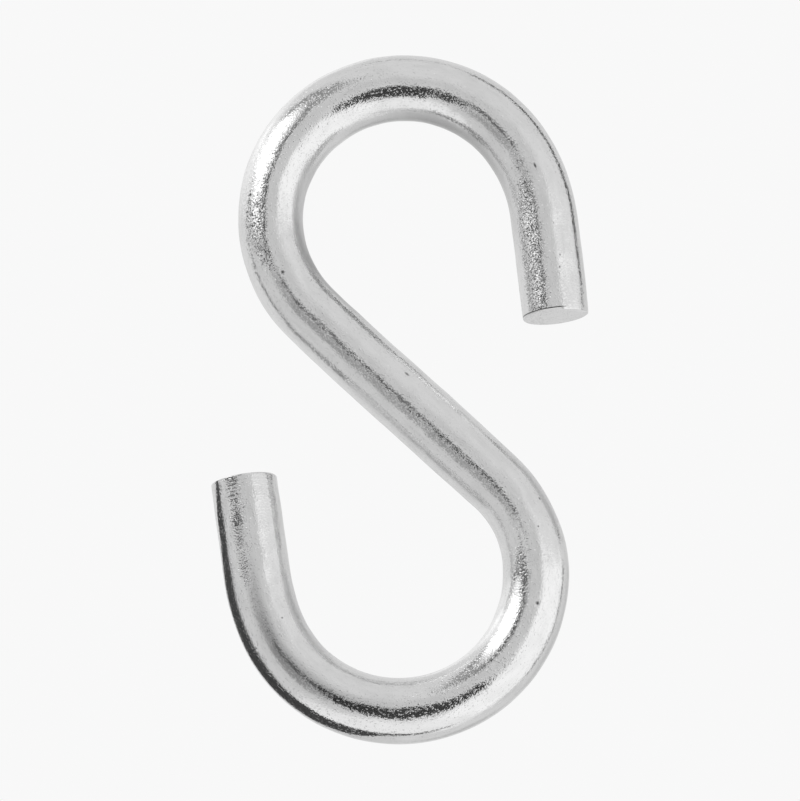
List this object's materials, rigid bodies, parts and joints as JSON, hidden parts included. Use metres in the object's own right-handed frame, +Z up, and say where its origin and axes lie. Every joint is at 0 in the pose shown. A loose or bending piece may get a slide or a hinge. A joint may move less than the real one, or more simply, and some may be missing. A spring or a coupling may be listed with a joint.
{
  "type": "s hook",
  "caption": "Round steel rod bent cold into an S: an open bowl at each end, a straight slanted shank between them and cropped tips that lean outwards.",
  "frame": {"origin": "seat of the upper bowl: the highest point of the bowl's inner side, on the rod's middle plane, where the bar it hangs from touches it", "axes": "+Z up along the line of pull, from the lower seat to the upper; +X across the hook towards the upper tip; Y across the rod, square to the plane of the S"},
  "size_m": [0.0449, 0.008, 0.0849],
  "materials": {
    "rod": "bright zinc plate over drawn steel rod, glossy, with fine grain and drawing lines along the rod"
  },
  "bodies": {
    "root": {"hook": "rod"}
  },
  "joints": []
}
